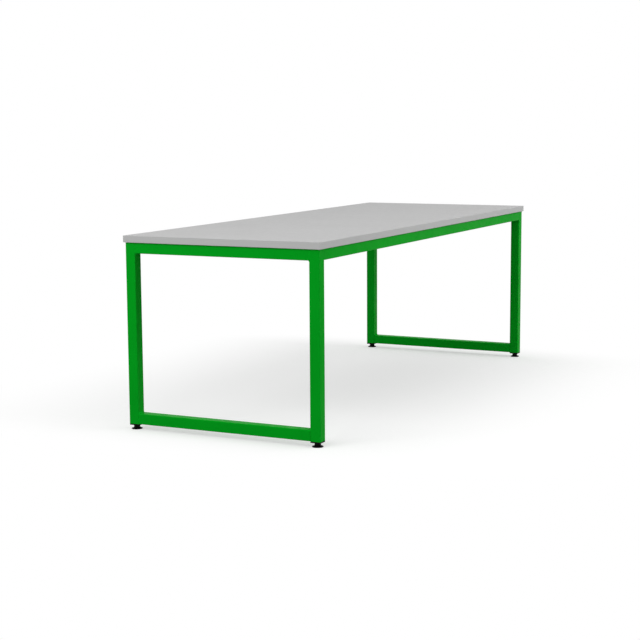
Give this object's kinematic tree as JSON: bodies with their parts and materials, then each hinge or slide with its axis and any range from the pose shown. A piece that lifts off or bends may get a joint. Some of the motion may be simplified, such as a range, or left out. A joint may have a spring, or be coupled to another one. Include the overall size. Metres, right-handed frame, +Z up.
{
  "type": "dining table",
  "caption": "Long rectangular dining table: grey laminated board on a green welded square-tube frame with closed end hoops and black screw feet.",
  "frame": {"origin": "on the floor, under the middle of the board", "axes": "+X along the length, towards the right end; +Y across the width, towards the back; +Z up. The picture was taken from the left end, in front of the front long side."},
  "size_m": [2.2, 0.8, 0.72],
  "materials": {
    "grey_laminate": "fine matt grained high-pressure laminate",
    "grey_edging": "satin plastic edging in the board's grey",
    "chipboard": "raw pressed chips, hidden",
    "green_powder_coat": "satin powder coat with a faint orange peel",
    "zinc_steel": "bright zinc plating",
    "black_nylon": "moulded black nylon, satin"
  },
  "bodies": {
    "frame": {"board_core": "chipboard", "top_laminate": "grey_laminate", "underside_laminate": "grey_laminate", "edging_front": "grey_edging", "edging_back": "grey_edging", "edging_left": "grey_edging", "edging_right": "grey_edging", "leg_left_front": "green_powder_coat", "leg_left_back": "green_powder_coat", "leg_right_front": "green_powder_coat", "leg_right_back": "green_powder_coat", "top_end_rail_left": "green_powder_coat", "top_end_rail_right": "green_powder_coat", "bottom_end_rail_left": "green_powder_coat", "bottom_end_rail_right": "green_powder_coat", "side_rail_front": "green_powder_coat", "side_rail_back": "green_powder_coat", "middle_rail": "green_powder_coat", "fixing_plates": "green_powder_coat", "wood_screws": "zinc_steel", "plug_left_front": "black_nylon", "plug_left_back": "black_nylon", "plug_right_front": "black_nylon", "plug_right_back": "black_nylon", "bush_left_front": "zinc_steel", "bush_left_back": "zinc_steel", "bush_right_front": "zinc_steel", "bush_right_back": "zinc_steel"},
    "pad_left_front": {"pad_left_front": "black_nylon"},
    "screw_left_front": {"stud_left_front": "zinc_steel", "collar_left_front": "black_nylon"},
    "pad_left_back": {"pad_left_back": "black_nylon"},
    "screw_left_back": {"stud_left_back": "zinc_steel", "collar_left_back": "black_nylon"},
    "pad_right_front": {"pad_right_front": "black_nylon"},
    "screw_right_front": {"stud_right_front": "zinc_steel", "collar_right_front": "black_nylon"},
    "pad_right_back": {"pad_right_back": "black_nylon"},
    "screw_right_back": {"stud_right_back": "zinc_steel", "collar_right_back": "black_nylon"}
  },
  "joints": [
    {"name": "foot_left_front_lift", "type": "slide", "parent": "frame", "child": "pad_left_front", "axis": [0, 0, -1], "range_m": [0, 0.015]},
    {"name": "foot_left_front_turn", "type": "hinge", "parent": "pad_left_front", "child": "screw_left_front", "pos_m": [-1.074, -0.374, 0], "axis": [0, 0, -1], "range_deg": [0, 3600]},
    {"name": "foot_left_back_lift", "type": "slide", "parent": "frame", "child": "pad_left_back", "axis": [0, 0, -1], "range_m": [0, 0.015]},
    {"name": "foot_left_back_turn", "type": "hinge", "parent": "pad_left_back", "child": "screw_left_back", "pos_m": [-1.074, 0.374, 0], "axis": [0, 0, -1], "range_deg": [0, 3600]},
    {"name": "foot_right_front_lift", "type": "slide", "parent": "frame", "child": "pad_right_front", "axis": [0, 0, -1], "range_m": [0, 0.015]},
    {"name": "foot_right_front_turn", "type": "hinge", "parent": "pad_right_front", "child": "screw_right_front", "pos_m": [1.074, -0.374, 0], "axis": [0, 0, -1], "range_deg": [0, 3600]},
    {"name": "foot_right_back_lift", "type": "slide", "parent": "frame", "child": "pad_right_back", "axis": [0, 0, -1], "range_m": [0, 0.015]},
    {"name": "foot_right_back_turn", "type": "hinge", "parent": "pad_right_back", "child": "screw_right_back", "pos_m": [1.074, 0.374, 0], "axis": [0, 0, -1], "range_deg": [0, 3600]}
  ],
  "couplings": [
    {"joint": "foot_left_front_turn", "follows": "foot_left_front_lift", "rad_per_m": 4188.8},
    {"joint": "foot_left_back_turn", "follows": "foot_left_back_lift", "rad_per_m": 4188.8},
    {"joint": "foot_right_front_turn", "follows": "foot_right_front_lift", "rad_per_m": 4188.8},
    {"joint": "foot_right_back_turn", "follows": "foot_right_back_lift", "rad_per_m": 4188.8}
  ]
}
